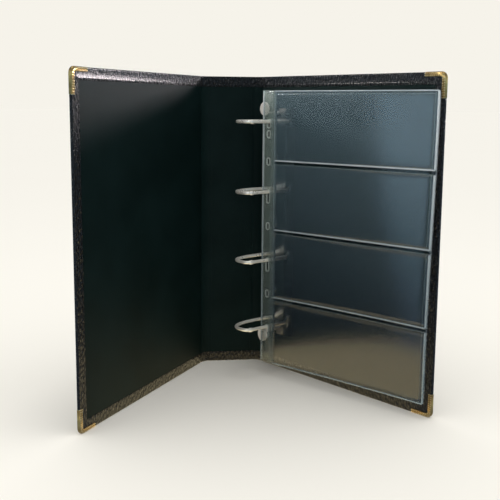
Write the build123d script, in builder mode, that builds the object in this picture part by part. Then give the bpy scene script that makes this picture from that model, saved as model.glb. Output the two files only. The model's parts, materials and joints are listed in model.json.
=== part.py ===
"""Four-ring coin album, standing open on its lower edges.

Frame: +Z up, origin on the table under the middle of the spine, mid-way through its thickness.
The spine lies along X, the inside of the album faces -Y, the front cover is at -X.
Sizes are in millimetres.
"""
import os
from math import atan, cos, degrees, radians, sin, sqrt, tan

from build123d import *

os.makedirs("parts", exist_ok=True)

# ---- case: covers, spine and the two folding joints ------------------------------------------
cover_height = 352.0
cover_width = 263.0
spine_width = 48.0
fold_width = 19.0          # flexible strip between the spine and a cover
fold_gap = 0.7             # split between a strip and its neighbours, half of it on each side
board_thickness = 2.1
skin_thickness = 0.7       # leatherette, outside and turned in
liner_thickness = 0.5
turn_in = 12.0             # leatherette border on the inside faces
liner_clearance = 0.25     # liner edge to turned-in leatherette
corner_radius = 6.0
front_fold = 59.5          # turn of the front cover from laid flat, album standing open
back_fold = 56.8

# ---- metal corner caps -----------------------------------------------------------------------
cap_metal = 0.35
cap_leg = 25.0             # length along each edge
cap_flange = 4.5           # width on the inside face
cap_bow = 2.5              # inward bow of the outer plate's long edge

# ---- ring mechanism --------------------------------------------------------------------------
ring_pitch = 80.0
ring_count = 4
ring_raise = 4.0           # rings above the cover's mid-height
ring_wire = 3.8
post_offset = 46.5         # straight posts from the back cover's fold axis
ring_reach = 33.2          # straight post to curved arm at the base
ring_clearance = 2.5       # ring crown to the front cover when the album is shut
post_shoulder = 8.2        # crown centre line above the post's tip
crown_radius = 7.0
shoulder_radius = 17.0
arm_radius = 60.0
arm_lean = 9.0             # how far the arm leans in before the crown
cup_radius = 2.5
cup_length = 5.4
tip_gap = 0.4              # post tip to cup
tip_chamfer = 0.6
cup_taper = 20             # degrees, on the upper half of a cup
arm_bend = 24.0            # arm starts to lean this far below the crown
spigot_step = 0.6          # wire radius less the radius of its foot in the blade
spigot_flange = 1.0        # headed end under the blade, beyond the foot
spigot_head_rise = 0.6

housing_width = 53.0
housing_rise = 9.8         # crown of the arched cover plate above its seat
housing_side = 4.2
housing_sheet = 1.0
arch_drop = 0.4            # hollow's spring line below the plate's own
housing_end = 15.0         # plate beyond the outer rings
housing_lip = 3.0
blade_thickness = 1.2
blade_middle = 2.7         # blade mid-plane above the seat
blade_split = 0.4
blade_side_gap = 0.6       # blade edge to the plate's side wall
blade_end = 6.3            # blades beyond the outer rings
ring_open = 7.5            # swing of each blade, degrees

lever_pivot_out = 10.0     # lever pins beyond the outer rings
lever_pivot_rise = 4.9
lever_open = 26.0
lever_hub = 2.2
lever_room = 1.2           # window beyond the hub
lever_sheet = 1.7
lever_stem_width = 9.0
lever_toe_width = 7.0
lever_toe_reach = 5.6
toe_clearance = 0.3        # toe below the blades
toe_floor = 0.6            # toe above the liner
toe_shoulder = 1.0         # step in the toe, in from the hub
pad_edge = 0.5             # rounding
pad_radius = 7.8
pad_rise = 26.0            # underside of the thumb pad above the inside of the cover
pad_out = 14.4             # thumb pad's centre beyond the outer rings
pin_radius = 1.25
pin_clearance = 0.06
ear_sheet = 1.0
ear_gap = 0.4              # ear to lever
ear_foot = 1.4             # ear above the seat
ear_margin = 1.0           # ear beyond the hub
pin_head = 0.6             # beyond the pin, and its thickness

rivet_radius = 1.6
rivet_head = 4.2
rivet_dome = 1.5
rivet_rim = 0.4            # straight edge of a rivet head
rivet_taper = 55           # degrees
washer_radius = 5.5
washer_thickness = 0.6
washer_chamfer = 0.15
spacer_radius = 2.8
spacer_clearance = 0.7     # blade notch around a spacer
spacer_play = 0.1          # spacer to the plate above it
hole_clearance = 0.1

# ---- pocket sheets ---------------------------------------------------------------------------
sheet_count = 2
page_margin = 17.0         # sheet below the cover's top and above its foot
page_fore_margin = 3.0     # sheet inside the cover's fore-edge
strip_rise = 34.6          # middle of the sheets above the cover, on the posts
strip_inner = 10.0         # strip edge to the row of holes
strip_outer = 7.0          # row of holes to the hinge weld
strip_thickness = 0.5
strip_end_gap = 1.8        # strip to the hinge line, and half of it from there to the pockets
film = 0.4
pocket_space = 0.4         # room between a pocket's two films
sheet_spacing = 1.4
weld = 1.6                 # width of a welded seam
pocket_step = 3.0          # seam of one pocket to the mouth of the next
pocket_count = 4
page_corner = 4.0
page_seat = 0.3            # sheet edge above the corner caps it leans on
hole_slack = 0.4           # strip slot around a post
slot_drops = (11.0, 11.0, 11.0, 5.0)    # slots below their posts, from the lowest
spare_hole_length = 3.6
spare_holes = (-14.2, -45.2)   # below the top ring, for other binders
low_spare_hole = -40.0         # below the next rings but the lowest

# ---- worked out ------------------------------------------------------------------------------
panel = board_thickness + 2 * skin_thickness
fold_thickness = skin_thickness + liner_thickness
axis_depth = panel - fold_thickness / 2        # fold axes below the inside faces
axis_step = fold_width + fold_gap
seat = liner_thickness - skin_thickness        # top of the liners, just below the turned-in edges
shut_space = spine_width + fold_gap + 2 * axis_step * sin(radians(45)) - 2 * axis_depth
ring_top = shut_space - ring_clearance         # highest point of the rings
crown_line = ring_top - ring_wire / 2
post_tip = crown_line - post_shoulder
arm_offset = post_offset - ring_reach
mid_offset = post_offset - ring_reach / 2
ring_middle = cover_height / 2 + ring_raise
ring_heights = [ring_middle + (i - (ring_count - 1) / 2) * ring_pitch for i in range(ring_count)]
rivet_heights = [(a + b) / 2 for a, b in zip(ring_heights, ring_heights[1:])]
housing_length = (ring_count - 1) * ring_pitch + 2 * housing_end
blade_bottom = seat + blade_middle - blade_thickness / 2
blade_top = blade_bottom + blade_thickness
blade_reach = housing_width / 2 - housing_sheet - blade_side_gap
pivot_rise = seat + lever_pivot_rise
hinge_offset = post_offset + strip_outer + strip_end_gap     # line where the sheets bend
page_height = cover_height - 2 * page_margin
page_across = fold_gap / 2 + cover_width - page_fore_margin - hinge_offset
page_stack = (sheet_count - 1) * sheet_spacing + 2 * film + pocket_space
page_drop = strip_rise - page_stack / 2 - cap_metal - page_seat
page_lean = degrees(atan(page_drop / page_across))
page_length = sqrt(page_across**2 + page_drop**2)
pocket_pitch = page_height / pocket_count


def upright(point, turn):
    """Upright plane: x along a panel, y up, z towards the reader."""
    a = radians(turn)
    return Plane(origin=point, x_dir=(cos(a), sin(a), 0), z_dir=(sin(a), -cos(a), 0))


def along(plane, distance):
    """Point on a plane's own x axis."""
    return plane.origin + plane.x_dir * distance


spine_face = upright((0, -panel / 2, 0), 0)
fold_start = spine_face.offset(-axis_depth)
back_strip = upright(along(fold_start, spine_width / 2 + fold_gap / 2), -back_fold / 2)
back_face = upright(along(back_strip, axis_step), -back_fold).offset(axis_depth)
front_strip = upright(along(fold_start, -spine_width / 2 - fold_gap / 2), front_fold / 2)
front_face = upright(along(front_strip, -axis_step), front_fold).offset(axis_depth)


def across(height):
    """Level plane over the back cover: x from the fold axis, y up from the inside face."""
    return Plane(
        origin=back_face.origin + Vector(0, 0, height),
        x_dir=back_face.x_dir,
        z_dir=(0, 0, -1),
    )


def keep(name, builder):
    builder.part.label = name
    export_step(builder.part, f"parts/{name}.step")


# ---- covers ----------------------------------------------------------------------------------
def panel_shape(plane, side, edge, ends, radius):
    """A cover's outline, drawn in from its free edge and its ends; side is +1 or -1 along x."""
    near = fold_gap / 2
    far = near + cover_width - edge
    with BuildSketch(plane) as shape:
        with Locations((side * (near + far) / 2, cover_height / 2)):
            Rectangle(far - near, cover_height - 2 * ends)
        fillet(shape.vertices().group_by(Axis.X)[-1 if side > 0 else 0], radius)
    return shape.sketch


def cap_shape(plane, side, top, width):
    """L-shaped band at a free corner of a cover, as wide as given."""
    x0 = side * (fold_gap / 2 + cover_width)
    y0 = cover_height if top else 0
    up = -1 if top else 1
    steps = [(0, 0), (cap_leg, 0), (cap_leg, width), (width, width), (width, cap_leg), (0, cap_leg)]
    points = [(x0 - side * a, y0 + up * b) for a, b in steps]
    with BuildSketch(plane) as shape:
        with BuildLine():
            Polyline(*points, close=True)
        make_face()
        fillet(shape.vertices().sort_by_distance((x0, y0, 0))[0], corner_radius)
        if width < corner_radius:
            inner = (points[3][0], points[3][1], 0)
            fillet(shape.vertices().sort_by_distance(inner)[0], corner_radius - width)
    return shape.sketch


def cap_plate(plane, side, top):
    """Three-sided outer plate of a corner cap."""
    x0 = side * (fold_gap / 2 + cover_width)
    y0 = cover_height if top else 0
    up = -1 if top else 1
    middle = cap_leg / 2 - cap_bow
    with BuildSketch(plane) as shape:
        with BuildLine():
            Line((x0, y0), (x0 - side * cap_leg, y0))
            ThreePointArc(
                (x0 - side * cap_leg, y0),
                (x0 - side * middle, y0 + up * middle),
                (x0, y0 + up * cap_leg),
            )
            Line((x0, y0 + up * cap_leg), (x0, y0))
        make_face()
        fillet(shape.vertices().sort_by_distance((x0, y0, 0))[0], corner_radius)
    return shape.sketch


def rivet_spots():
    return [(mid_offset, height) for height in rivet_heights]


for name, face, side in (("front", front_face, -1), ("back", back_face, 1)):
    edge = skin_thickness + liner_clearance
    with BuildPart() as skin:
        extrude(panel_shape(face.offset(-panel), side, 0, 0, corner_radius), amount=panel)
        extrude(
            panel_shape(face.offset(-panel + skin_thickness), side, skin_thickness, skin_thickness,
                        corner_radius - skin_thickness),
            amount=board_thickness,
            mode=Mode.SUBTRACT,
        )
        extrude(
            panel_shape(face.offset(-skin_thickness), side, turn_in, turn_in, liner_clearance),
            amount=skin_thickness,
            mode=Mode.SUBTRACT,
        )
        for top in (True, False):
            extrude(
                cap_shape(face.offset(-panel), side, top, cap_metal),
                amount=panel,
                mode=Mode.SUBTRACT,
            )
        if name == "back":
            with BuildSketch(face.offset(-panel)):
                with Locations(*rivet_spots()):
                    Circle(rivet_radius + hole_clearance)
            extrude(amount=panel, mode=Mode.SUBTRACT)
    keep(name + "_cover_skin", skin)

    with BuildPart() as board:
        extrude(
            panel_shape(face.offset(-panel + skin_thickness), side, skin_thickness, skin_thickness,
                        corner_radius - skin_thickness),
            amount=board_thickness,
        )
        if name == "back":
            with BuildSketch(face.offset(-panel)):
                with Locations(*rivet_spots()):
                    Circle(rivet_radius + hole_clearance)
            extrude(amount=panel, mode=Mode.SUBTRACT)
    keep(name + "_cover_board", board)

    inset = turn_in + liner_clearance
    with BuildPart() as liner:
        extrude(
            panel_shape(face.offset(-skin_thickness), side, inset, inset, liner_clearance),
            amount=liner_thickness,
        )
        if name == "back":
            with BuildSketch(face.offset(-panel)):
                with Locations(*rivet_spots()):
                    Circle(rivet_radius + hole_clearance)
            extrude(amount=panel, mode=Mode.SUBTRACT)
    keep(name + "_cover_liner", liner)

    for place, top in (("top", True), ("bottom", False)):
        with BuildPart() as cap:
            extrude(
                cap_shape(face.offset(-panel - cap_metal), side, top, cap_metal),
                amount=panel + 2 * cap_metal,
            )
            extrude(cap_shape(face, side, top, cap_flange), amount=cap_metal)
            extrude(cap_plate(face.offset(-panel - cap_metal), side, top), amount=cap_metal)
        keep(f"{name}_corner_{place}", cap)

# ---- spine -----------------------------------------------------------------------------------
with BuildPart() as spine_skin:
    with BuildSketch(spine_face.offset(-panel)):
        with Locations((0, cover_height / 2)):
            Rectangle(spine_width, cover_height)
    extrude(amount=panel)
    with BuildSketch(spine_face.offset(-panel + skin_thickness)):
        with Locations((0, cover_height / 2)):
            Rectangle(spine_width, cover_height - 2 * skin_thickness)
    extrude(amount=board_thickness, mode=Mode.SUBTRACT)
    with BuildSketch(spine_face.offset(-skin_thickness)):
        with Locations((0, cover_height / 2)):
            Rectangle(spine_width, cover_height - 2 * turn_in)
    extrude(amount=skin_thickness, mode=Mode.SUBTRACT)
keep("spine_skin", spine_skin)

with BuildPart() as spine_board:
    with BuildSketch(spine_face.offset(-panel + skin_thickness)):
        with Locations((0, cover_height / 2)):
            Rectangle(spine_width, cover_height - 2 * skin_thickness)
    extrude(amount=board_thickness)
keep("spine_board", spine_board)

with BuildPart() as spine_liner:
    with BuildSketch(spine_face.offset(-skin_thickness)):
        with Locations((0, cover_height / 2)):
            Rectangle(spine_width, cover_height - 2 * (turn_in + liner_clearance))
    extrude(amount=liner_thickness)
keep("spine_liner", spine_liner)

# ---- folding strips --------------------------------------------------------------------------
for name, plane, side in (("front", front_strip, -1), ("back", back_strip, 1)):
    middle = side * (fold_gap / 2 + fold_width / 2)
    with BuildPart() as fold_skin:
        with BuildSketch(plane.offset(-fold_thickness / 2)):
            with Locations((middle, cover_height / 2)):
                Rectangle(fold_width, cover_height)
        extrude(amount=fold_thickness)
        with BuildSketch(plane.offset(-fold_thickness / 2 + skin_thickness)):
            with Locations((middle, cover_height / 2)):
                Rectangle(fold_width, cover_height - 2 * turn_in)
        extrude(amount=liner_thickness, mode=Mode.SUBTRACT)
    keep(name + "_fold_skin", fold_skin)

    with BuildPart() as fold_lining:
        with BuildSketch(plane.offset(-fold_thickness / 2 + skin_thickness)):
            with Locations((middle, cover_height / 2)):
                Rectangle(fold_width, cover_height - 2 * (turn_in + liner_clearance))
        extrude(amount=liner_thickness)
    keep(name + "_fold_lining", fold_lining)

# ---- ring mechanism: arched cover plate ------------------------------------------------------
left = mid_offset - housing_width / 2
right = mid_offset + housing_width / 2
lever_window = lever_stem_width / 2 + ear_gap
slide = (housing_rise - blade_middle) * tan(radians(ring_open))
slot_width = ring_wire + 2 * hole_slack
hollow_side = seat + housing_side - arch_drop

with BuildPart() as housing:
    with BuildSketch(across(ring_middle)) as section:
        with BuildLine():
            Line((left, seat), (left, seat + housing_side))
            ThreePointArc(
                (left, seat + housing_side),
                (mid_offset, seat + housing_rise),
                (right, seat + housing_side),
            )
            Polyline((right, seat + housing_side), (right, seat), (left, seat))
        make_face()
        with BuildLine(mode=Mode.PRIVATE) as hollow:
            Line((left + housing_sheet, seat), (left + housing_sheet, hollow_side))
            ThreePointArc(
                (left + housing_sheet, hollow_side),
                (mid_offset, seat + housing_rise - housing_sheet),
                (right - housing_sheet, hollow_side),
            )
            Polyline(
                (right - housing_sheet, hollow_side),
                (right - housing_sheet, seat),
                (left + housing_sheet, seat),
            )
        make_face(hollow.edges(), mode=Mode.SUBTRACT)
        for end in (left + housing_sheet, right - housing_sheet - housing_lip):
            with Locations((end + housing_lip / 2, seat + housing_sheet / 2)):
                Rectangle(housing_lip, housing_sheet)
    extrude(amount=housing_length / 2, both=True)
    # slots where the ring wires come through, long enough for their swing
    with BuildSketch(back_face.offset(seat + housing_sheet)):
        for height in ring_heights:
            with Locations((post_offset + slide / 2, height), (arm_offset - slide / 2, height)):
                SlotOverall(slot_width + slide, slot_width)
    extrude(amount=housing_rise, mode=Mode.SUBTRACT)
    with BuildSketch(back_face.offset(seat + housing_side)):
        with Locations(*rivet_spots()):
            Circle(rivet_radius + hole_clearance)
    extrude(amount=housing_rise, mode=Mode.SUBTRACT)
    # a window at each end for the lever, with an ear folded down on each side of it
    for out in (-1, 1):
        far = ring_middle + out * housing_length / 2
        pivot = ring_heights[-1 if out > 0 else 0] + out * lever_pivot_out
        inner = pivot - out * (lever_hub + lever_room)
        with BuildSketch(back_face.offset(seat + housing_sheet)):
            with Locations((mid_offset, (far + inner) / 2)):
                Rectangle(2 * lever_window, abs(far - inner))
        extrude(amount=housing_rise, mode=Mode.SUBTRACT)
        with BuildSketch(back_face.offset(seat + ear_foot)):
            ear_middle = lever_window + ear_sheet / 2
            with Locations((mid_offset - ear_middle, pivot), (mid_offset + ear_middle, pivot)):
                Rectangle(ear_sheet, 2 * (lever_hub + ear_margin))
        extrude(amount=housing_rise - housing_sheet - ear_foot)
        pin_line = Plane(
            origin=back_face.from_local_coords(Vector(mid_offset, pivot, pivot_rise)),
            z_dir=back_face.x_dir,
        )
        with BuildSketch(pin_line):
            Circle(pin_radius)
        extrude(amount=housing_width / 4, both=True, mode=Mode.SUBTRACT)
keep("ring_housing", housing)

# ---- blades, straight posts and curved arms --------------------------------------------------
blade_length = (ring_count - 1) * ring_pitch + 2 * blade_end
spigot = ring_wire / 2 - spigot_step
spigot_head = spigot + spigot_flange
for name, side, root in (("post_blade", 1, post_offset), ("arm_blade", -1, arm_offset)):
    with BuildPart() as blade:
        with BuildSketch(back_face.offset(blade_bottom)):
            middle = mid_offset + side * (blade_split / 2 + blade_reach) / 2
            with Locations((middle, ring_middle)):
                Rectangle(blade_reach - blade_split / 2, blade_length)
            with Locations(*rivet_spots()):
                Circle(spacer_radius + spacer_clearance, mode=Mode.SUBTRACT)
            with Locations(*[(root, height) for height in ring_heights]):
                Circle(spigot + hole_clearance / 2, mode=Mode.SUBTRACT)
        extrude(amount=blade_thickness)
    keep(name, blade)


def disc(offset, height, level, radius):
    """Round sketch over the back cover, at a level above its inside face."""
    with BuildSketch(back_face.offset(level)) as shape:
        with Locations((offset, height)):
            Circle(radius)
    return shape.sketch


for i, height in enumerate(ring_heights, start=1):
    with BuildPart() as post:
        extrude(disc(post_offset, height, blade_top, ring_wire / 2), amount=post_tip - blade_top)
        chamfer(post.faces().sort_by(Axis(back_face.origin, back_face.z_dir))[-1].edges(), tip_chamfer)
        extrude(disc(post_offset, height, blade_bottom, spigot), amount=blade_thickness)
        extrude(disc(post_offset, height, blade_bottom, spigot_head), amount=-spigot_head_rise)
    keep(f"ring_post_{i}", post)

    with BuildPart() as arm:
        with BuildLine(across(height)) as wire:
            FilletPolyline(
                (arm_offset, blade_top),
                (arm_offset, crown_line - arm_bend),
                (arm_offset + arm_lean, crown_line),
                (post_offset, crown_line),
                (post_offset, post_tip + tip_gap),
                radius=[arm_radius, shoulder_radius, crown_radius],
            )
        sweep(disc(arm_offset, height, blade_top, ring_wire / 2), path=wire.wire())
        cup = post_tip + tip_gap
        extrude(disc(post_offset, height, cup, cup_radius), amount=cup_length - cup_radius)
        cup += cup_length - cup_radius
        extrude(disc(post_offset, height, cup, cup_radius), amount=cup_radius, taper=cup_taper)
        extrude(disc(arm_offset, height, blade_bottom, spigot), amount=blade_thickness)
        extrude(disc(arm_offset, height, blade_bottom, spigot_head), amount=-spigot_head_rise)
    keep(f"ring_arm_{i}", arm)

# ---- opening levers and their pins -----------------------------------------------------------
for name, out, ring in (("top", 1, ring_heights[-1]), ("bottom", -1, ring_heights[0])):
    pivot = ring + out * lever_pivot_out
    pivot_point = back_face.from_local_coords(Vector(mid_offset, pivot, pivot_rise))
    side_view = Plane(origin=pivot_point, x_dir=(0, 0, out), z_dir=back_face.x_dir * out)
    under = blade_bottom - pivot_rise - toe_clearance
    floor = seat - pivot_rise + toe_floor
    stem = pad_rise - pivot_rise + lever_sheet / 2
    with BuildPart() as lever:
        with BuildSketch(side_view):
            Circle(lever_hub)
            with Locations((0, stem / 2)):
                Rectangle(lever_sheet, stem)
        extrude(amount=lever_stem_width / 2, both=True)
        with BuildSketch(side_view):
            with BuildLine():
                Polyline(
                    (-lever_toe_reach, floor),
                    (-lever_toe_reach, under),
                    (-lever_hub - toe_shoulder, under),
                    (-lever_hub / 2, -lever_hub / 2),
                    (lever_hub / 2, -lever_hub / 2),
                    (-lever_hub / 2, floor),
                    close=True,
                )
            make_face()
        extrude(amount=lever_toe_width / 2, both=True)
        with BuildSketch(back_face.offset(pad_rise)):
            with Locations((mid_offset, ring + out * pad_out)):
                Circle(pad_radius)
        extrude(amount=lever_sheet)
        fillet(lever.edges().filter_by(GeomType.CIRCLE).group_by(SortBy.RADIUS)[-1], pad_edge)
        with BuildSketch(side_view):
            Circle(pin_radius + pin_clearance)
        extrude(amount=lever_stem_width, both=True, mode=Mode.SUBTRACT)
    keep("lever_" + name, lever)

    with BuildPart() as pin:
        with BuildSketch(side_view):
            Circle(pin_radius)
        extrude(amount=lever_window + ear_sheet, both=True)
        for end in (-1, 1):
            with BuildSketch(side_view.offset(end * (lever_window + ear_sheet))):
                Circle(pin_radius + pin_head)
            extrude(amount=end * pin_head)
    keep("lever_pin_" + name, pin)

# ---- rivets that hold the mechanism to the back cover ----------------------------------------
for i, height in enumerate(rivet_heights, start=1):
    spot = (mid_offset, height)
    with BuildPart() as spacer:
        with BuildSketch(back_face.offset(seat)):
            with Locations(spot):
                Circle(spacer_radius)
                Circle(rivet_radius + hole_clearance, mode=Mode.SUBTRACT)
        extrude(amount=housing_rise - housing_sheet - spacer_play)
    keep(f"rivet_spacer_{i}", spacer)

    with BuildPart() as washer:
        with BuildSketch(back_face.offset(-panel)):
            with Locations(spot):
                Circle(washer_radius)
                Circle(rivet_radius + hole_clearance, mode=Mode.SUBTRACT)
        extrude(amount=-washer_thickness)
        chamfer(washer.edges().group_by(Axis(back_face.origin, back_face.z_dir))[0], washer_chamfer)
    keep(f"rivet_washer_{i}", washer)

    with BuildPart() as rivet:
        with BuildSketch(back_face.offset(-panel - washer_thickness)):
            with Locations(spot):
                Circle(rivet_radius)
        extrude(amount=panel + washer_thickness + seat + housing_rise)
        for level, turn in ((seat + housing_rise, 1), (-panel - washer_thickness, -1)):
            with BuildSketch(back_face.offset(level)):
                with Locations(spot):
                    Circle(rivet_head)
            extrude(amount=turn * rivet_rim)
            with BuildSketch(back_face.offset(level + turn * rivet_rim)):
                with Locations(spot):
                    Circle(rivet_head)
            extrude(amount=turn * (rivet_dome - rivet_rim), taper=rivet_taper)
    keep(f"rivet_{i}", rivet)

# ---- pocket sheets ---------------------------------------------------------------------------
hinge_point = back_face.from_local_coords(Vector(hinge_offset, 0, strip_rise))
page_plane = upright(hinge_point, -back_fold + page_lean)
page_start = strip_end_gap / 2
page_foot = page_margin
strip_width = strip_inner + strip_outer
strip_left = post_offset - strip_inner
spare_heights = [ring_heights[-1] + step for step in spare_holes]
spare_heights += [height + low_spare_hole for height in ring_heights[1:-1]]
for i in range(sheet_count):
    lift = (i - (sheet_count - 1) / 2) * sheet_spacing
    with BuildPart() as strip:
        with BuildSketch(back_face.offset(strip_rise + lift - strip_thickness / 2)):
            with Locations((strip_left + strip_width / 2, cover_height / 2)):
                Rectangle(strip_width, page_height)
            for height, drop in zip(ring_heights, slot_drops):
                with Locations((post_offset, height + (hole_slack - drop) / 2)):
                    SlotOverall(slot_width + drop, slot_width, rotation=90, mode=Mode.SUBTRACT)
            with Locations(*[(post_offset, height) for height in spare_heights]):
                SlotOverall(slot_width + spare_hole_length, slot_width, rotation=90,
                            mode=Mode.SUBTRACT)
        extrude(amount=strip_thickness)
    keep(f"sheet_{i + 1}_strip", strip)

    sheet = page_plane.offset(lift)
    width = page_length - page_start
    with BuildPart() as back_film:
        with BuildSketch(sheet.offset(-pocket_space / 2 - film)) as outline:
            with Locations((page_start + width / 2, cover_height / 2)):
                Rectangle(width, page_height)
            fillet(outline.vertices().group_by(Axis.X)[-1], page_corner)
        extrude(amount=film)
    keep(f"sheet_{i + 1}_back_film", back_film)

    for k in range(pocket_count):
        top = page_foot + page_height - k * pocket_pitch
        tall = pocket_pitch - (pocket_step if k else 0)
        foot = top - pocket_pitch
        with BuildPart() as pocket:
            with BuildSketch(sheet.offset(-pocket_space / 2)) as outline:
                with Locations((page_start + width / 2, foot + tall / 2)):
                    Rectangle(width, tall)
                if k == 0:
                    fillet(outline.vertices().sort_by(Axis.X)[-2:].sort_by(Axis.Y)[-1], page_corner)
                if k == pocket_count - 1:
                    fillet(outline.vertices().sort_by(Axis.X)[-2:].sort_by(Axis.Y)[0], page_corner)
            extrude(amount=pocket_space + film)
            with BuildSketch(sheet.offset(-pocket_space / 2)):
                with Locations((page_start + width / 2, foot + weld + tall / 2)):
                    Rectangle(width - 2 * weld, tall)
            extrude(amount=pocket_space, mode=Mode.SUBTRACT)
        keep(f"sheet_{i + 1}_pocket_{k + 1}", pocket)

print(f"shut space {shut_space:.2f}  ring top {ring_top:.2f}  post tip {post_tip:.2f}")
print(f"sheet lean {page_lean:.2f}  sheet length {page_length:.2f} x {page_height:.2f}")
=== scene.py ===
import json
import math

import bmesh
import bpy
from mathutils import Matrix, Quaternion, Vector


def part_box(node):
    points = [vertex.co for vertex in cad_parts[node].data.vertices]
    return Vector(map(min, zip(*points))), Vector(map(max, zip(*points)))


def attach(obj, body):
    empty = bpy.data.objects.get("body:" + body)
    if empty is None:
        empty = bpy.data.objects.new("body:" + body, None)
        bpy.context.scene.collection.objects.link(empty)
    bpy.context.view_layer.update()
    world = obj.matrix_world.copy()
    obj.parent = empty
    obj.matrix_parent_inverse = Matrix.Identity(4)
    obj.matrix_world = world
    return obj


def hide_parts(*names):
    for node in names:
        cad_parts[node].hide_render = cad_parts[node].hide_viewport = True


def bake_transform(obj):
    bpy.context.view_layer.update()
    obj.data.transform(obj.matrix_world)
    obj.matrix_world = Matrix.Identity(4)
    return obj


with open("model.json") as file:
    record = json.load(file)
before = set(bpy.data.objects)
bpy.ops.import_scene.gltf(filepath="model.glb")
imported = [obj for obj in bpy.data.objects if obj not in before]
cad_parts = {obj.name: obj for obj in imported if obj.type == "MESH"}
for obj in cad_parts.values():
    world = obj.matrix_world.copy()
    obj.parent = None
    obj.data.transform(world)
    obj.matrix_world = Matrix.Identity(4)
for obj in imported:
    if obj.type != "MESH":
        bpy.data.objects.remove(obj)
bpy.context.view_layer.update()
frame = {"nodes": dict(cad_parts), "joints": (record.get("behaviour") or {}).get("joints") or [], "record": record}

nodes = frame["nodes"]
joints = {joint["name"]: joint for joint in frame["joints"]}
sides = (("front", -1), ("back", 1))


class Place:  # a panel's own directions: u away from the spine, n towards the reader, z up
    def __init__(self, origin, turn, side):
        self.u = Vector((side * math.cos(turn), -math.sin(turn), 0))
        self.n = Vector((-side * math.sin(turn), -math.cos(turn), 0))
        self.origin = Vector((origin[0], origin[1], 0))

    def at(self, u, n, z):
        return self.origin + self.u * u + self.n * n + Vector((0, 0, z))

    def spread(self, node):  # lowest and highest u, n and z of a CAD node
        points = [v.co - self.origin for v in nodes[node].data.vertices]
        rows = [[p.dot(self.u) for p in points], [p.dot(self.n) for p in points], [p.z for p in points]]
        return [(min(row), max(row)) for row in rows]

    def moved(self, n):
        copy = Place(self.origin + self.n * n, 0, 1)
        copy.u, copy.n = self.u, self.n
        return copy


# where the panels stand, read from the joints and the CAD nodes
spinePlace = Place((0, 0), 0, 1)
spinePlace = spinePlace.moved(spinePlace.spread("spine_skin")[1][1])
coverTurn, coverPlace, spineEdge, coverEdge = {}, {}, {}, {}
for name, side in sides:
    swing, fold = joints[name + "_cover_swing"], joints[name + "_cover_fold"]
    coverTurn[name] = -2 * math.radians(swing["range_deg"][0])
    spineEdge[name] = Vector((swing["pos_m"][0], swing["pos_m"][1], 0))
    coverEdge[name] = Vector((fold["pos_m"][0], fold["pos_m"][1], 0))
    place = Place(coverEdge[name], coverTurn[name], side)
    coverPlace[name] = place.moved(place.spread(name + "_cover_skin")[1][1])
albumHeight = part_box("spine_skin")[1].z
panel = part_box("spine_skin")[1].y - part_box("spine_skin")[0].y
axisDepth = (coverPlace["back"].origin - coverEdge["back"]).length
ringHeights = [sum(c.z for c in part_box(f"ring_post_{i}")) / 2 for i in range(1, 5)]


# shader writing
class Wire:  # a socket that takes part in arithmetic
    def __init__(self, finish, socket):
        self.finish, self.socket = finish, socket

    def __add__(self, other):
        return self.finish.maths("ADD", self, other)

    def __sub__(self, other):
        return self.finish.maths("SUBTRACT", self, other)

    def __rsub__(self, other):
        return self.finish.maths("SUBTRACT", other, self)

    def __mul__(self, other):
        return self.finish.maths("MULTIPLY", self, other)

    def __truediv__(self, other):
        return self.finish.maths("DIVIDE", self, other)

    def __rtruediv__(self, other):
        return self.finish.maths("DIVIDE", other, self)

    __radd__ = __add__
    __rmul__ = __mul__


def addNode(tree, kind, settings, inputs):
    node = tree.nodes.new(kind)
    for key, value in settings.items():
        if key == "stops":
            ramp = node.color_ramp
            while len(ramp.elements) < len(value):
                ramp.elements.new(0.5)
            for element, (spot, colour) in zip(ramp.elements, value):
                element.position, element.color = spot, colour
        else:
            setattr(node, key, value)
    for key, value in inputs.items():
        if isinstance(value, Wire):
            value = value.socket
        if isinstance(value, bpy.types.NodeSocket):
            tree.links.new(value, node.inputs[key])
        else:
            node.inputs[key].default_value = value
    return node


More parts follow.
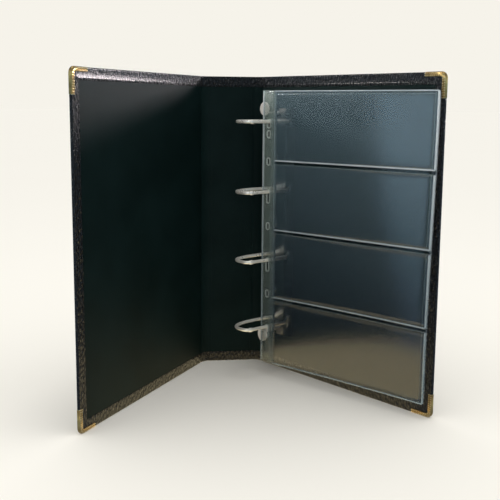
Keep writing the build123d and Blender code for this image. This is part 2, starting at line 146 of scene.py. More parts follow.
class Finish:  # one material, with a shader that is filled in piece by piece
    def __init__(self, name, **fixed):
        self.material = bpy.data.materials.new(name)
        self.material.use_nodes = True
        self.tree = self.material.node_tree
        self.shader = self.tree.nodes["Principled BSDF"]
        for key, value in fixed.items():
            self.shader.inputs[key.replace("_", " ")].default_value = value
        self.place = self.node("ShaderNodeTexCoord", {}, {}, "Object")

    def node(self, kind, settings, inputs, output=0):
        return Wire(self, addNode(self.tree, kind, settings, inputs).outputs[output])

    def maths(self, operation, *values):
        return self.node("ShaderNodeMath", {"operation": operation}, dict(enumerate(values)))

    def smooth(self, value, low, high):
        settings = {"interpolation_type": "SMOOTHSTEP"}
        return self.node("ShaderNodeMapRange", settings, {"Value": value, "From Min": low, "From Max": high})

    def span(self, value, low, high):  # takes a value from 0..1 to low..high
        return value * (high - low) + low

    def along(self, direction):  # metres along a fixed direction
        settings = {"operation": "DOT_PRODUCT"}
        return self.node("ShaderNodeVectorMath", settings, {0: self.place, 1: direction}, "Value")

    def stretched(self, turn, scale):
        return self.node("ShaderNodeMapping", {}, {"Vector": self.place, "Rotation": turn, "Scale": scale})

    def noise(self, size, detail=2.0, vector=None):
        inputs = {"Vector": vector or self.place, "Scale": 1 / size, "Detail": detail}
        return self.node("ShaderNodeTexNoise", {}, inputs, "Fac")

    def cells(self, size, feature="F1", vector=None, jitter=1.0):
        inputs = {"Vector": vector or self.place, "Scale": 1 / size, "Randomness": jitter}
        return self.node("ShaderNodeTexVoronoi", {"feature": feature}, inputs, "Distance")

    def mix(self, factor, one, other):
        inputs = {"Factor": factor, 6: one, 7: other}
        return self.node("ShaderNodeMix", {"data_type": "RGBA"}, inputs, 2)

    def feed(self, **wires):
        for key, wire in wires.items():
            self.tree.links.new(wire.socket, self.shader.inputs[key.replace("_", " ")])

    def relief(self, height, depth, strength=1.0):
        inputs = {"Height": height, "Distance": depth, "Strength": strength}
        self.feed(Normal=self.node("ShaderNodeBump", {}, inputs, "Normal"))


leatherLook = {
    "scale": 0.0034,  # width of one scale of the grain
    "slant": 0.62,  # turn of the ribs, in radians
    "rib": 0.55,  # scales are longer than wide
    "relief": 0.0013,
    "dark": (0.0030, 0.0029, 0.0036, 1),
    "light": (0.015, 0.013, 0.013, 1),
}


def makeLeather(name="leatherette"):
    finish = Finish(name, Coat_Roughness=0.16, Coat_Weight=0.12, Specular_IOR_Level=0.36)
    slanted = finish.stretched((0, leatherLook["slant"], 0), (1, 1, leatherLook["rib"]))
    wander = finish.noise(0.009, 1.0, slanted) * 0.3
    edge = finish.cells(leatherLook["scale"], "DISTANCE_TO_EDGE", slanted, jitter=0.8)
    dome = finish.cells(leatherLook["scale"], "F1", slanted, jitter=0.8)
    scale = finish.smooth(edge, 0.02, 0.34)
    pores = finish.noise(0.00045, 3.0)
    creases = finish.noise(0.0016, 2.0, slanted)
    finish.relief(scale * 0.8 + dome * -1.5 + creases * 0.9 + pores * 0.08, leatherLook["relief"], 1.0)
    finish.feed(
        Base_Color=finish.mix(scale * (0.6 + wander), leatherLook["dark"], leatherLook["light"]),
        Roughness=finish.span(1 - scale, 0.20, 0.5) + pores * 0.08,
    )
    return finish.material


linerLook = {"pitch": 0.00062, "dark": (0.0018, 0.0076, 0.0070, 1), "light": (0.0042, 0.0128, 0.0124, 1)}


def makeLiner(name, direction):
    finish = Finish(name, Specular_IOR_Level=0.07)
    pitch = linerLook["pitch"]
    warp = finish.maths("SINE", finish.along(direction) * (2 * math.pi / pitch))
    weft = finish.maths("SINE", finish.along((0, 0, 1)) * (2 * math.pi / pitch))
    blotch = finish.noise(0.055, 3.0)
    fibre = finish.noise(0.0012, 4.0)
    finish.relief(warp * weft * 0.35 + fibre, 0.00012, 0.7)
    finish.feed(
        Base_Color=finish.mix(
            finish.smooth(blotch * 0.7 + fibre * 0.3, 0.3, 0.7), linerLook["dark"], linerLook["light"]
        ),
        Roughness=finish.span(fibre, 0.48, 0.66),
    )
    return finish.material


def makeGilt(name, bright, dull):
    finish = Finish(name, Metallic=1.0)
    hammered = finish.cells(0.0013, "F1")
    age = finish.noise(0.006, 3.0)
    finish.relief(hammered, 0.00012, 0.7)
    finish.feed(
        Base_Color=finish.mix(finish.smooth(age, 0.35, 0.7), bright, dull),
        Roughness=finish.span(age, 0.24, 0.42),
    )
    return finish.material


def makeMetal(name, colour, dull, low, high, grain, metal=1.0):
    finish = Finish(name, Metallic=metal)
    # here only a random haze of the metal, with no painted light
    hazeAndPaintedLight = finish.noise(0.012, 3.0)
    rub = finish.noise(0.0014, 3.0, finish.stretched((0, 0, 0), grain))
    finish.relief(rub, 0.00003, 0.25)
    finish.feed(
        Base_Color=finish.mix(finish.smooth(hazeAndPaintedLight, 0.4, 0.75), colour, dull),
        Roughness=finish.span(hazeAndPaintedLight * 0.6 + rub * 0.4, low, high),
    )
    return finish.material


def makeBoard(name="greyBoard"):
    finish = Finish(name)
    pulp = finish.noise(0.0016, 4.0)
    finish.relief(pulp, 0.0001, 0.5)
    finish.feed(
        Base_Color=finish.mix(pulp, (0.22, 0.20, 0.17, 1), (0.38, 0.35, 0.31, 1)),
        Roughness=finish.span(pulp, 0.8, 0.95),
    )
    return finish.material


def makeFilm(name, alpha, index, low, high, foot, head):
    # the walls of stacked film add up, so each shows little and reflects strongly
    finish = Finish(name, Alpha=alpha, IOR=index)
    drift = finish.noise(0.16, 1.0)
    pulled = finish.noise(0.05, 1.0, finish.stretched((0, 0, 0), (1, 1, 0.15)))
    # painted light: the colour runs from the foot colour to the paler head colour towards the top of the page,
    # standing in for the lamps above; the drift noise adds a little real haze
    hazeAndPaintedLight = finish.smooth(finish.along((0, 0, 1)) + drift * 0.05, 0.06, 0.36)
    finish.feed(
        Base_Color=finish.mix(hazeAndPaintedLight, foot, head),
        Roughness=finish.span(pulled, low, high),
    )
    return finish.material


leather = makeLeather()
linerCovers = {name: makeLiner("liner_" + name, tuple(coverPlace[name].u)) for name, _ in sides}
linerSpine = makeLiner("liner_spine", (1, 0, 0))
gilt = makeGilt("giltBrass", (1.0, 0.82, 0.48, 1), (0.88, 0.62, 0.28, 1))
giltDeep = makeGilt("giltDeep", (0.72, 0.46, 0.17, 1), (0.46, 0.27, 0.09, 1))
chrome = makeMetal("ringChrome", (0.95, 0.92, 0.84, 1), (0.84, 0.81, 0.73, 1), 0.22, 0.36, (1, 1, 0.2), 0.6)
padNickel = makeMetal("padNickel", (0.95, 0.90, 0.84, 1), (0.90, 0.82, 0.77, 1), 0.38, 0.52, (1, 1, 1), 0.25)
plateChrome = makeMetal(
    "plateChrome", (0.78, 0.78, 0.76, 1), (0.62, 0.62, 0.61, 1), 0.10, 0.28, (1, 1, 0.05)
)
springSteel = makeMetal(
    "springSteel", (0.50, 0.51, 0.52, 1), (0.38, 0.39, 0.40, 1), 0.28, 0.45, (1, 1, 0.03)
)
pinSteel = makeMetal("pinSteel", (0.74, 0.74, 0.73, 1), (0.56, 0.55, 0.54, 1), 0.15, 0.32, (1, 1, 1))
greyBoard = makeBoard()
# the paler head colour of each film is painted light at the top of the page
filmClear = makeFilm("filmClear", 0.075, 4.4, 0.15, 0.22, (0.06, 0.09, 0.12, 1), (0.36, 0.56, 0.68, 1))
filmBacking = makeFilm("filmBacking", 0.045, 4.4, 0.15, 0.22, (0.03, 0.05, 0.07, 1), (0.10, 0.17, 0.20, 1))
filmCut = makeFilm("filmCut", 0.8, 1.6, 0.15, 0.25, (0.60, 0.66, 0.62, 1), (0.86, 0.92, 0.88, 1))
filmWeld = makeFilm("filmWeld", 0.13, 2.4, 0.15, 0.25, (0.16, 0.22, 0.22, 1), (0.34, 0.46, 0.46, 1))
# pale edge finish: a painted highlight on the cut edges of the film and on the bright weld lines
filmEdgeHighlight = makeFilm("filmEdgeHighlight", 0.45, 1.8, 0.15, 0.25, (0.30, 0.38, 0.40, 1), (0.74, 0.80, 0.84, 1))
filmStrip = makeFilm("filmStrip", 0.16, 2.6, 0.15, 0.28, (0.16, 0.20, 0.18, 1), (0.34, 0.44, 0.40, 1))
print("finishes made")


# mesh helpers
def pieceFrom(name, points, faces, finishes, sharp=35, merge=0.0, outward=True):
    mesh = bpy.data.meshes.new(name)
    mesh.from_pydata([tuple(p) for p in points], [], faces)
    work = bmesh.new()
    work.from_mesh(mesh)
    if merge:
        bmesh.ops.remove_doubles(work, verts=work.verts, dist=merge)
        bmesh.ops.dissolve_degenerate(work, edges=work.edges, dist=merge)
    if outward:
        bmesh.ops.recalc_face_normals(work, faces=work.faces)
    for face in work.faces:
        face.smooth = True
    work.to_mesh(mesh)
    work.free()
    mesh.set_sharp_from_angle(angle=math.radians(sharp))
    for finish in finishes:
        mesh.materials.append(finish)
    item = bpy.data.objects.new(name, mesh)
    bpy.context.scene.collection.objects.link(item)
    return item


def ringFaces(count, rings, closed=False):
    faces = []
    steps = count if closed else count - 1
    for j in range(rings - 1):
        for i in range(steps):
            k = (i + 1) % count
            faces.append((j * count + i, j * count + k, (j + 1) * count + k, (j + 1) * count + i))
    return faces


def applyModifiers(item):
    plain = bpy.data.meshes.new_from_object(item.evaluated_get(bpy.context.evaluated_depsgraph_get()))
    item.modifiers.clear()
    item.data = plain
    plain.name = item.name
    return item


def joined(name, items):
    work = bmesh.new()
    finishes = []
    for item in items:
        offset = len(finishes)
        finishes += list(item.data.materials)
        before = len(work.faces)
        work.from_mesh(item.data)
        work.faces.ensure_lookup_table()
        for face in work.faces[before:]:
            face.material_index += offset
    mesh = bpy.data.meshes.new(name)
    work.to_mesh(mesh)
    work.free()
    for finish in finishes:
        mesh.materials.append(finish)
    for item in items:
        bpy.data.objects.remove(item)
    whole = bpy.data.objects.new(name, mesh)
    bpy.context.scene.collection.objects.link(whole)
    return whole


def smoothStep(value):
    value = min(max(value, 0.0), 1.0)
    return value * value * (3 - 2 * value)


# rows of small domes, by Geometry Nodes
def makeBeadTree():
    tree = bpy.data.node_groups.new("beadRows", "GeometryNodeTree")
    socket = tree.interface.new_socket
    socket("Geometry", in_out="INPUT", socket_type="NodeSocketGeometry")
    socket("Spacing", in_out="INPUT", socket_type="NodeSocketFloat")
    socket("Radius", in_out="INPUT", socket_type="NodeSocketFloat")
    socket("Least size", in_out="INPUT", socket_type="NodeSocketFloat")
    socket("Seed", in_out="INPUT", socket_type="NodeSocketInt")
    socket("Finish", in_out="INPUT", socket_type="NodeSocketMaterial")
    socket("Geometry", in_out="OUTPUT", socket_type="NodeSocketGeometry")
    given = tree.nodes.new("NodeGroupInput").outputs
    line = addNode(tree, "GeometryNodeMeshToCurve", {}, {"Mesh": given["Geometry"]})
    inputs = {"Curve": line.outputs[0], "Length": given["Spacing"]}
    spots = addNode(tree, "GeometryNodeResampleCurve", {"mode": "LENGTH"}, inputs)
    bead = addNode(
        tree, "GeometryNodeMeshUVSphere", {}, {"Segments": 8, "Rings": 6, "Radius": given["Radius"]}
    )
    inputs = {2: given["Least size"], 3: 1.0, "Seed": given["Seed"]}
    size = addNode(tree, "FunctionNodeRandomValue", {"data_type": "FLOAT"}, inputs)
    inputs = {"Points": spots.outputs[0], "Instance": bead.outputs[0], "Scale": size.outputs[1]}
    copies = addNode(tree, "GeometryNodeInstanceOnPoints", {}, inputs)
    solid = addNode(tree, "GeometryNodeRealizeInstances", {}, {"Geometry": copies.outputs[0]})
    smoothed = addNode(tree, "GeometryNodeSetShadeSmooth", {}, {"Geometry": solid.outputs[0]})
    inputs = {"Geometry": smoothed.outputs[0], "Material": given["Finish"]}
    done = addNode(tree, "GeometryNodeSetMaterial", {}, inputs)
    out = tree.nodes.new("NodeGroupOutput")
    tree.links.new(done.outputs[0], out.inputs[0])
    return tree


beadTree = makeBeadTree()


def beadRows(name, rows, spacing, radius, finish, least=0.85, seed=7):
    points, edges = [], []
    for row in rows:
        start = len(points)
        points += [tuple(p) for p in row]
        edges += [(start + i, start + i + 1) for i in range(len(row) - 1)]
    mesh = bpy.data.meshes.new(name)
    mesh.from_pydata(points, edges, [])
    item = bpy.data.objects.new(name, mesh)
    bpy.context.scene.collection.objects.link(item)
    beads = item.modifiers.new("beads", "NODES")
    beads.node_group = beadTree
    values = {"Spacing": spacing, "Radius": radius, "Least size": least, "Seed": seed, "Finish": finish}
    for socket in beadTree.interface.items_tree:
        if socket.in_out == "INPUT" and socket.name in values:
            beads[socket.identifier] = values[socket.name]
    return applyModifiers(item)


# leatherette case: wraps over the boards
wrap = {
    "turnIn": 0.012,  # leatherette folded over the inside
    "round": 0.0013,  # along the edges of a board
    "corner": 0.006,
    "leastCorner": 0.0004,
    "edgeFlat": 0.0007,  # beside the rounded edge of a board
    "cutEdge": ((0.0002, -0.0006), (0, -0.00022), (-0.0003, 0)),  # steps up from the lining's recess
    "ridge": 0.00015,  # raised line beside the cut edge
    "ridgeShape": ((0.0010, 0), (0.0014, 0.6), (0.0019, 1), (0.0024, 0.6), (0.0028, 0)),
    "liningGap": 0.00025,
    "liningDepths": (-0.0002, -0.0008),
    "liningLap": 0.0003,
    "foldDip": 0.0008,  # lining sinks this far between the boards
    "foldLead": 0.0048,
    "foldSteps": 26,
    "blendSteps": 20,  # steps of a fold's half, counted from its end at the spine or the cover
    "cornerSteps": 8,
    "roundSteps": 6,
}


def wrapProfile(thick):
    # inset from the edge and depth under the inside face, from the lining's recess round to the outside
    turnIn, least = wrap["turnIn"], min(wrap["round"], thick * 0.48)
    row = [(turnIn + shift, depth) for shift, depth in wrap["cutEdge"]]
    row += [(turnIn - shift, rise * wrap["ridge"]) for shift, rise in wrap["ridgeShape"]]
    row.append((least + wrap["edgeFlat"], 0))
    for step in range(wrap["roundSteps"] + 1):
        turn = math.pi / 2 * step / wrap["roundSteps"]
        row.append((least - least * math.sin(turn), -(least - least * math.cos(turn))))
    for step in range(wrap["roundSteps"] + 1):
        turn = math.pi / 2 * (1 - step / wrap["roundSteps"])
        row.append((least - least * math.sin(turn), -thick + least - least * math.cos(turn)))
    row += [(least + wrap["edgeFlat"], -thick), (turnIn, -thick)]
    return row


def cornerLine(inset, far, start, steps, radius):
    # runs along the foot and round the corner to the free edge, inset by the given amount
    bend = max(radius - inset, wrap["leastCorner"])
    row = [(start, inset)]
    for step in range(steps + 1):
        turn = math.pi / 2 * step / steps
        row.append((far - inset - bend + bend * math.sin(turn), inset + bend - bend * math.cos(turn)))
    return row


def coverWrap(name, place, far):
    rings = []
    for inset, n in wrapProfile(panel):
        low = cornerLine(inset, far, 0, wrap["cornerSteps"], wrap["corner"])
        high = [(u, albumHeight - z) for u, z in reversed(low)]
        rings.append([place.at(u, n, z) for u, z in low + high])
    count = len(rings[0])
    points = [p for ring in rings for p in ring]
    faces = ringFaces(count, len(rings))
    last = (len(rings) - 1) * count
    faces.append(list(range(count)))
    faces.append(list(range(last + count - 1, last - 1, -1)))
    order = range(len(rings))
    faces.append([j * count for j in order] + [j * count + count - 1 for j in reversed(order)])
    return pieceFrom(name, points, faces, [leather])


def sweptWrap(name, stations, profile, finish):
    # stations hold a point on the outside, the way to the inside and the wall there
    rings = []
    for outer, inward, thick in stations:
        low = profile(thick)
        loop = [(n, z) for z, n in low] + [(n, albumHeight - z) for z, n in reversed(low)]
        rings.append([outer + inward * (n + thick) + Vector((0, 0, z)) for n, z in loop])
    count = len(rings[0])
    points = [p for ring in rings for p in ring]
    faces = ringFaces(count, len(rings), closed=True)
    faces.append(list(range(count)))
    faces.append(list(range(len(points) - 1, len(points) - count - 1, -1)))
    return pieceFrom(name, points, faces, [finish])


def liningProfile(thick):
    # the wall's thickness makes no difference here
    edge = wrap["turnIn"] + wrap["liningGap"]
    return [(edge, depth) for depth in wrap["liningDepths"]]


def foldStations(name, side, low, high, ends=0.0):
    # a fold's outside runs on an arc from the spine's edge to the cover's
    turn = coverTurn[name]
    chord = (coverEdge[name] - spineEdge[name]).length
    radius = chord / (2 * math.sin(turn / 2))
    centre = spineEdge[name] + Vector((0, -radius, 0))
    length = radius * turn
    stations = []
    steps = wrap["foldSteps"]
    for step in range(steps + 1):
        share = low + (high - low) * step / steps
        angle = share * turn
        inward = Vector((-side * math.sin(angle), -math.cos(angle), 0))
        spot = centre - inward * radius
        lead = wrap["foldLead"]
        dip = wrap["foldDip"] * smoothStep(share * length / lead) * smoothStep((1 - share) * length / lead)
        stations.append((spot - inward * (panel - axisDepth), inward, panel - dip))
    if ends:
        if low == 0:
            outer, inward, thick = stations[0]
            stations.insert(0, (outer - Vector((side * ends, 0, 0)), inward, thick))
        if high == 1:
            outer, inward, thick = stations[-1]
            stations.append((outer + coverPlace[name].u * ends, inward, thick))
    return stations


for name, side in sides:
    far = coverPlace[name].spread(name + "_cover_skin")[0][1]
    skin = coverWrap(name + "_cover_wrap", coverPlace[name], far)
    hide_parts(name + "_cover_skin")
    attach(skin, name + "_cover")
    for part, low, high, bodies in (
        ("inner", 0.0, 0.5, ("spine", name + "_fold")),
        ("outer", 0.5, 1.0, (name + "_fold", name + "_cover")),
    ):
        stations = foldStations(name, side, low, high)
        skin = sweptWrap(f"{name}_fold_{part}_wrap", stations, wrapProfile, leather)
        lapped = foldStations(name, side, low, high, wrap["liningLap"])
        lining = sweptWrap(f"{name}_fold_{part}_lining", lapped, liningProfile, linerCovers[name])
        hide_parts(name + "_fold_skin")
        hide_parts(name + "_fold_lining")
        first = 0 if part == "inner" else wrap["foldSteps"] - wrap["blendSteps"]
        last = first + wrap["blendSteps"]
        for item, slot in ((skin, "leatherette"), (lining, "liner")):
            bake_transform(item)
edges = [Vector((spineEdge[name].x, spinePlace.origin.y + panel, 0)) for name, _ in sides]
inward = Vector((0, -1, 0))
skin = sweptWrap("spine_wrap", [(edges[0], inward, panel), (edges[1], inward, panel)], wrapProfile, leather)
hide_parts("spine_skin")
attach(skin, "spine")
print("case wrapped")


# gilt corner caps
cap = {
    "leg": 0.025,
    "flange": 0.0045,
    "stand": 0.00035,  # metal outside over the leatherette
    "metal": 0.00028,
    "bow": (0.0068, 0.0068),  # middle of the outer plate's hollow edge is drawn towards this
    "bevel": 0.0003,  # at the flange's edge
    "edgeFlat": (0.0006, 0.0003),  # beside the rounded edge, inside and outside
    "cornerSteps": 10,
    "roundSteps": 6,
    "plateSteps": 6,
    "beadRadius": 0.00080,
    "beadSpacing": 0.0023,
    "rimInset": 0.0005,  # beads on the rim stand out only as far as the metal
    "flangeRows": (0.0012, 0.0034),
    "rimHalf": 0.0009,  # rim rows to the middle of the edge
    "plateRows": 5,
    "plateShare": (0.1, 0.86),  # first row, and how far the rest reach
}


def makeCap(name, place, far, top):
    stand, leg, rnd, steps = cap["stand"], cap["leg"], wrap["round"], cap["roundSteps"]

    def line(inset, n):
        low = cornerLine(inset, far, far - leg, cap["cornerSteps"], wrap["corner"] + stand)
        row = low + [(far - inset, leg)]
        return [place.at(u, n, albumHeight - z if top else z) for u, z in row]

    flatIn, flatOut = cap["edgeFlat"]
    rings = [line(cap["flange"], stand * 0.4), line(cap["flange"] - cap["bevel"], stand)]
    rings.append(line(rnd + flatIn, stand))
    outerRound = rnd + stand
    for step in range(steps + 1):
        turn = math.pi / 2 * step / steps
        rings.append(line(rnd - outerRound * math.sin(turn), stand - outerRound * (1 - math.cos(turn))))
    for step in range(steps + 1):
        turn = math.pi / 2 * (1 - step / steps)
        drop = outerRound * (1 - math.cos(turn))
        rings.append(line(rnd - outerRound * math.sin(turn), -panel - stand + drop))
    base = line(rnd + flatOut, -panel - stand)
    count = len(base)
    bow = []
    for i in range(count):
        t = i / (count - 1)
        x = (1 - t) ** 2 * leg + 2 * t * (1 - t) * cap["bow"][0] + t * t * rnd
        y = (1 - t) ** 2 * rnd + 2 * t * (1 - t) * cap["bow"][1] + t * t * leg
        bow.append(place.at(far - x, -panel - stand, albumHeight - y if top else y))
    for step in range(cap["plateSteps"] + 1):
        rings.append([a.lerp(b, step / cap["plateSteps"]) for a, b in zip(base, bow)])
    points = [p for ring in rings for p in ring]
    item = pieceFrom(name + "_shell", points, ringFaces(count, len(rings)), [giltDeep], merge=0.00002)
    wall = item.modifiers.new("wall", "SOLIDIFY")
    wall.thickness = cap["metal"]
    wall.offset = -1
    if item.data.polygons[0].normal.dot(place.n) <= 0:
        item.data.flip_normals()
    applyModifiers(item)
    rows = [line(inset, stand) for inset in cap["flangeRows"]]
    rows += [line(cap["rimInset"], -panel / 2 + away) for away in (cap["rimHalf"], -cap["rimHalf"])]
    first, reach = cap["plateShare"]
    for row in range(cap["plateRows"]):
        share = first + reach * row / (cap["plateRows"] - 1)
        rows.append([a.lerp(b, share) for a, b in zip(base, bow)][1:-1])
    beads = beadRows(name + "_beads", rows, cap["beadSpacing"], cap["beadRadius"], gilt)
    return joined(name, [item, beads])


for name, side in sides:
    far = coverPlace[name].spread(name + "_cover_skin")[0][1]
    for end in ("top", "bottom"):
        item = makeCap(f"{name}_cap_{end}", coverPlace[name], far, end == "top")
        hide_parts(f"{name}_corner_{end}")
        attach(item, name + "_cover")
print("corner caps made")


# clear sheets
back = coverPlace["back"]
stripBox = [back.spread(f"sheet_{i}_strip") for i in (1, 2)]
hinge = joints["sheet_1_turn"]["pos_m"]
hingeU = (Vector(hinge) - back.origin).dot(back.u)
hingeN = (Vector(hinge) - back.origin).dot(back.n)
film = {
    "steps": (44, 56),
    "thick": 0.0004,
    "twist": 0.0100,  # the free edge stands off the cover at its foot
    "curl": 0.0016,
    "wave": 0.0009,
    "puff": 0.00042,
    "inset": 0.0002,  # a pocket's film stops short of its outline
    "corner": 0.007,
    "seam": 0.0016,
    "seamStop": 0.001,
    "lip": 0.00022,
    "hingeLine": 0.00075,
    "tongue": 0.00016,  # half the thickness of the tongue at the hinge weld
    "tongueLap": 0.0006,
    "tongueStart": (0.0004, 0.0003),  # from the hinge line, along a sheet and off it
}
seams = {  # how far in from a pocket's edge, and how wide
    "foot": (0.0008, 0.0015),
    "mouth": (0.0006, 0.0007),
    "edge": (0.0012, 0.0018),
    "edgeInner": (0.0050, 0.0009),
    "root": (0.0016, 0.0022),
    "head": (0.0040, 0.0009),
    "headEdge": (0.0008, 0.0009),
}
ribs = {  # how far in from a strip's edge, how wide and how high
    "edge": (0.0008, 0.0013, 0.00025),
    "weld": (0.0034, 0.0011, 0.0003),
    "root": (0.0008, 0.0015, 0.0003),
    "stop": 0.0004,
}
punch = {
    "width": 0.0046,
    "room": 0.0004,  # over the top of a post
    "drops": (0.011, 0.011, 0.011, 0.005),  # slots below their posts, from the lowest
    "spareLength": 0.0036,
    "topSpares": (0.0142, 0.0452),  # smaller holes below the top ring
    "lowSpare": 0.040,  # and below the two next to it
    "endSteps": 8,
    "lip": 0.00045,
    "lipFoot": 0.0001,
    "lipRise": 0.00022,
}


def sheetPlace():
    # along a sheet from its hinge line, square to it, and up
    points = [v.co for v in nodes["sheet_1_back_film"].data.vertices]
    middle = sum(back.spread("sheet_1_back_film")[0]) / 2
    ends = []
    for isFar in (False, True):
        group = [p for p in points if ((p - back.origin).dot(back.u) > middle) == isFar]
        ends.append(sum(group, Vector()) / len(group))
    across = ends[1] - ends[0]
    across.z = 0
    across.normalize()
    place = Place((hinge[0], hinge[1]), 0, 1)
    place.u, place.n = across, Vector((across.y, -across.x, 0))
    if place.n.dot(back.n) < 0:
        place.n = -place.n
    return place


page = sheetPlace()
filmBox = [page.spread(f"sheet_{i}_back_film") for i in (1, 2)]
pageLow, pageHigh = filmBox[0][2]
pageStart, pageEnd = filmBox[0][0]
pageTall = pageHigh - pageLow


def sway(u, z):
    # how far a sheet stands off its plane
    s = max(u, 0.0) / pageEnd
    foot = 1 - (z - pageLow) / pageTall
    lift = film["twist"] * s * s * smoothStep(foot * 1.15)
    lift += film["wave"] * math.sin(math.pi * s) * (0.55 + 0.45 * math.sin(5.1 * foot + 0.8))
    lift += film["curl"] * smoothStep((s - 0.955) / 0.045) * smoothStep(1.25 - abs(foot - 0.15) * 1.6)
    return lift


def roundedGrid(uLow, uHigh, zLow, zHigh, corners, nu, nz):
    points = []
    radius = film["corner"]
    for j in range(nz + 1):
        for i in range(nu + 1):
            u = uLow + (uHigh - uLow) * i / nu
            z = zLow + (zHigh - zLow) * j / nz
            for wanted, edge in (("foot", zLow), ("top", zHigh)):
                inwards = 1 if wanted == "foot" else -1
                cu, cz = uHigh - radius, edge + inwards * radius
                if wanted in corners and u > cu and (z - cz) * inwards < 0:
                    du, dz = u - cu, z - cz
                    reach = math.hypot(du, dz)
                    limit = max(abs(du), abs(dz))
                    u, z = cu + du * limit / reach, cz + dz * limit / reach
            points.append((u, z))
    return points


def filmPiece(name, uLow, uHigh, zLow, zHigh, lift, thick, corners, finishes, puff=0.0):
    nu, nz = film["steps"][0], max(6, round(film["steps"][1] * (zHigh - zLow) / pageTall))
    grid = roundedGrid(uLow, uHigh, zLow, zHigh, corners, nu, nz)
    points = []
    for u, z in grid:
        bulge = 0.0
        if puff:
            su, sz = (u - uLow) / (uHigh - uLow), (z - zLow) / (zHigh - zLow)
            bulge = puff * (max(math.sin(math.pi * su), 0) * max(math.sin(math.pi * sz), 0)) ** 0.6
        points.append(page.at(u, lift + sway(u, z) + bulge, z))
    faces = []
    row = nu + 1
    for j in range(nz):
        for i in range(nu):
            a = j * row + i
            faces.append((a, a + 1, a + row + 1, a + row))
    item = pieceFrom(name, points, faces, finishes, outward=False)
    if item.data.polygons[0].normal.dot(page.n) < 0:
        item.data.flip_normals()
    wall = item.modifiers.new("wall", "SOLIDIFY")
    wall.thickness = thick
    wall.offset = 0
    # the rim faces take the second finish, the painted edge highlight
    wall.material_offset_rim = 1
    applyModifiers(item)
    return item


def slotTurns():
    # round the two ends of a slot: which end it is, and the angle there
    for end in (1, -1):
        for step in range(punch["endSteps"] + 1):
            yield end, math.pi * step / punch["endSteps"] + (0 if end > 0 else math.pi)


def stripPiece(name, box, holes):
    (uLow, uHigh), (nLow, nHigh), (zLow, zHigh) = box
    flat = bpy.data.curves.new(name, "CURVE")
    flat.dimensions = "2D"
    flat.fill_mode = "BOTH"
    thick = nHigh - nLow
    flat.bevel_depth = 0.00008
    flat.bevel_resolution = 1
    flat.extrude = thick / 2 - flat.bevel_depth
    loops = [[(uLow, zLow), (uHigh, zLow), (uHigh, zHigh), (uLow, zHigh)]]
    for u, z, length, width in holes:
        loop = []
        for end, turn in slotTurns():
            across, up = width / 2 * math.cos(turn), width / 2 * math.sin(turn)
            loop.append((u + across, z + end * (length - width) / 2 + up))
        loops.append(loop)
    for loop in loops:
        spline = flat.splines.new("POLY")
        spline.points.add(len(loop) - 1)
        for point, (u, z) in zip(spline.points, loop):
            point.co = (u, z, 0, 1)
        spline.use_cyclic_u = True
    source = bpy.data.objects.new(name + "_line", flat)
    bpy.context.scene.collection.objects.link(source)
    mesh = bpy.data.meshes.new_from_object(source.evaluated_get(bpy.context.evaluated_depsgraph_get()))
    bpy.data.objects.remove(source)
    middle = (nLow + nHigh) / 2
    points = [back.at(v.co.x, middle + v.co.z, v.co.y) for v in mesh.vertices]
    faces = [tuple(p.vertices) for p in mesh.polygons]
    return pieceFrom(name, points, faces, [filmStrip, filmEdgeHighlight], merge=0.000005)


def stripRib(name, box, u, width, rise, finish):
    # a welded ridge along a strip
    (nLow, nHigh), (zLow, zHigh) = box[1], box[2]
    row = []
    for step in range(7):
        turn = math.pi * step / 6
        row.append((u - width / 2 * math.cos(turn), nHigh + rise * math.sin(turn)))
    row += [(u + width / 2, nLow - 0.00004), (u - width / 2, nLow - 0.00004)]
    heights = (zLow + ribs["stop"], zHigh - ribs["stop"])
    points = [back.at(a, n, z) for z in heights for a, n in row]
    count = len(row)
    faces = ringFaces(count, 2, closed=True)
    faces += [list(range(count)), list(range(2 * count - 1, count - 1, -1))]
    return pieceFrom(name, points, faces, [finish])


def seamRib(name, ends, lift, width, rise, finish, steps):
    # a thin welded ridge on a sheet, between two (u, z) points
    (u0, z0), (u1, z1) = ends
    length = math.hypot(u1 - u0, z1 - z0)
    du, dz = -(z1 - z0) / length, (u1 - u0) / length
    rings = []
    for step in range(steps + 1):
        t = step / steps
        u, z = u0 + (u1 - u0) * t, z0 + (z1 - z0) * t
        base = lift + sway(u, z)
        ring = []
        for k in range(5):
            turn = math.pi * k / 4
            shift = -width / 2 * math.cos(turn)
            ring.append(page.at(u + du * shift, base + rise * math.sin(turn), z + dz * shift))
        for shift in (width / 2, -width / 2):
            ring.append(page.at(u + du * shift, base - 0.0001, z + dz * shift))
        rings.append(ring)
    count = len(rings[0])
    points = [p for ring in rings for p in ring]
    faces = ringFaces(count, len(rings), closed=True)
    faces += [list(range(count)), list(range(len(points) - 1, len(points) - count - 1, -1))]
    return pieceFrom(name, points, faces, [finish])


def slotOutline(u, z, length, width, n):
    # a raised lip round a slot of the binding strip
    rings = []
    foot, lip = punch["lipFoot"], punch["lip"]
    profile = ((foot, -foot), (foot, foot), (lip / 2, punch["lipRise"]), (lip, foot), (lip, -foot))
    for end, turn in slotTurns():
        middle = z + end * (length - width) / 2
        ring = []
        for away, rise in profile:
            radius = width / 2 + away
            ring.append(back.at(u + radius * math.cos(turn), n + rise, middle + radius * math.sin(turn)))
        rings.append(ring)
    rings.append(rings[0])
    points = [p for ring in rings for p in ring]
    return pieceFrom("slotLip", points, ringFaces(5, len(rings), closed=True), [filmCut], merge=0.000005)


def makeHoles():
    # middle, length and width of each hole in a binding strip
    u, width = sum(back.spread("ring_post_1")[0]) / 2, punch["width"]
    holes = []
    for z, drop in zip(ringHeights, punch["drops"]):
        holes.append((u, z + (punch["room"] - drop) / 2, width + drop, width))
    spare = [ringHeights[3] - drop for drop in punch["topSpares"]]
    spare += [ringHeights[i] - punch["lowSpare"] for i in (2, 1)]
    return holes + [(u, z, width + punch["spareLength"], width) for z in spare]


